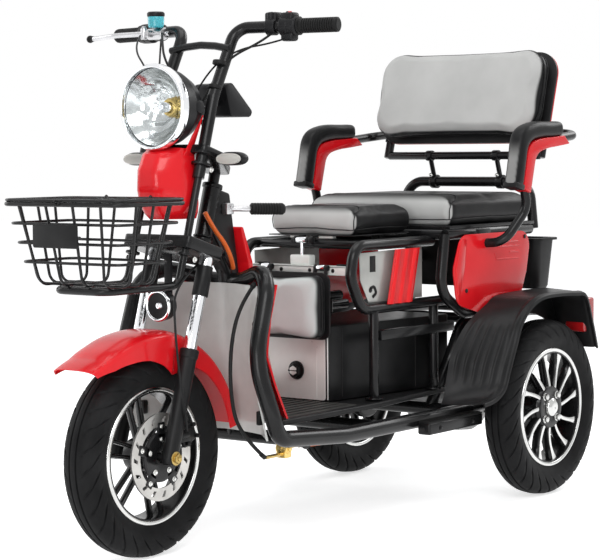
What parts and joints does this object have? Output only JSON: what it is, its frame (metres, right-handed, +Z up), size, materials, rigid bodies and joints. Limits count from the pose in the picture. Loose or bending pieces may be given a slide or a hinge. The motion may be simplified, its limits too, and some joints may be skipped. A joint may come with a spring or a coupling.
{
  "type": "electric leisure moped",
  "caption": "Light electric moped on three wheels, with a wire basket at the front, a saddle, a wide rear bench with arms and a backrest, and a small bin behind it.",
  "frame": {"origin": "on the ground under the middle of the whole length and width", "axes": "+X forward, +Y to the rider's left, +Z up"},
  "size_m": [1.58, 0.692, 1.1263],
  "materials": {
    "frame_black": "satin black",
    "mat_grey": "ribbed mat",
    "plastic_grey": "satin dark grey",
    "plastic_red": "glossy red",
    "box_grey": "pale satin front, black sides",
    "battery_case": "matt",
    "plastic_black": "matt black",
    "leather_black": "satin black and pale grey",
    "leather_grey": "satin pale grey",
    "zinc": "zinc plated",
    "steel_red": "gloss red",
    "lamp_red": "clear red",
    "motor_case": "as cast",
    "rubber_black": "matt, ribbed",
    "conduit_orange": "ribbed orange",
    "chrome": "mirror bright",
    "cast_black": "black, satin",
    "reservoir_clear": "tinted, see-through",
    "lens": "clear",
    "wire_black": "gloss black wire",
    "tyre": "matt black rubber",
    "rim_black": "gloss black with polished lips",
    "disc_steel": "ground",
    "rim_chrome": "polished faces over black pockets"
  },
  "bodies": {
    "frame": {"main_frame": "frame_black", "seat_frame": "frame_black", "floor_pan": "mat_grey", "leg_shield": "plastic_grey", "inner_shield": "plastic_red", "seat_box": "box_grey", "battery": "battery_case", "box_latch": "plastic_black", "hinge_shelf": "frame_black", "bench": "leather_black", "arm_shells": "plastic_red", "arm_pads": "leather_grey", "back_frame": "frame_black", "backrest": "leather_grey", "backrest_shell": "plastic_red", "side_panels": "plastic_red", "side_plates": "zinc", "folded_sheets": "steel_red", "rear_bin": "plastic_black", "rear_mudguards": "plastic_black", "tail_lamps": "lamp_red", "rear_axle": "frame_black", "drive_motor": "motor_case", "rear_springs": "frame_black", "parking_lever": "rubber_black", "pedal_linkage": "zinc", "conduit": "conduit_orange", "hoses": "rubber_black"},
    "steering": {"fork_crown": "frame_black", "fork_stanchions": "chrome", "fork_lowers": "frame_black", "brake_caliper": "cast_black", "handlebar": "frame_black", "grips": "rubber_black", "controls": "plastic_black", "fluid_reservoir": "reservoir_clear", "headlamp_bucket": "plastic_black", "headlamp_rim": "chrome", "headlamp_lens": "lens", "display": "plastic_black", "apron": "plastic_red", "turn_signals": "plastic_black", "basket": "wire_black", "front_mudguard": "plastic_red", "horn": "plastic_black"},
    "front_wheel": {"front_tyre": "tyre", "front_rim": "rim_black", "brake_disc": "disc_steel"},
    "rear_wheel_left": {"rear_tyre_left": "tyre", "rear_rim_left": "rim_chrome"},
    "rear_wheel_right": {"rear_tyre_right": "tyre", "rear_rim_right": "rim_chrome"},
    "basket_lid": {"basket_lid": "wire_black"},
    "front_pad": {"pad_board": "plastic_black", "front_pad": "leather_black"},
    "driver_saddle": {"saddle_base": "frame_black", "saddle": "leather_black"}
  },
  "joints": [
    {"name": "steering_turn", "type": "hinge", "parent": "frame", "child": "steering", "pos_m": [0.48, 0, 0.21], "axis": [-0.2924, 0, 0.9563], "range_deg": [-40, 40]},
    {"name": "front_wheel_roll", "type": "hinge", "parent": "steering", "child": "front_wheel", "pos_m": [0.543, 0, 0.21], "axis": [0, 1, 0], "continuous": true},
    {"name": "rear_left_wheel_roll", "type": "hinge", "parent": "frame", "child": "rear_wheel_left", "pos_m": [-0.567, 0.283, 0.21], "axis": [0, 1, 0], "continuous": true},
    {"name": "rear_right_wheel_roll", "type": "hinge", "parent": "frame", "child": "rear_wheel_right", "pos_m": [-0.567, -0.283, 0.21], "axis": [0, 1, 0], "continuous": true},
    {"name": "basket_lid_hinge", "type": "hinge", "parent": "steering", "child": "basket_lid", "pos_m": [0.578, 0, 0.7358], "axis": [0, -1, 0], "range_deg": [0, 95]},
    {"name": "front_pad_hinge", "type": "hinge", "parent": "frame", "child": "front_pad", "pos_m": [0.034, 0, 0.568], "axis": [0, -1, 0], "range_deg": [0, 90]},
    {"name": "saddle_hinge", "type": "hinge", "parent": "frame", "child": "driver_saddle", "pos_m": [0.002, 0, 0.627], "axis": [0, 1, 0], "range_deg": [0, 75]}
  ]
}
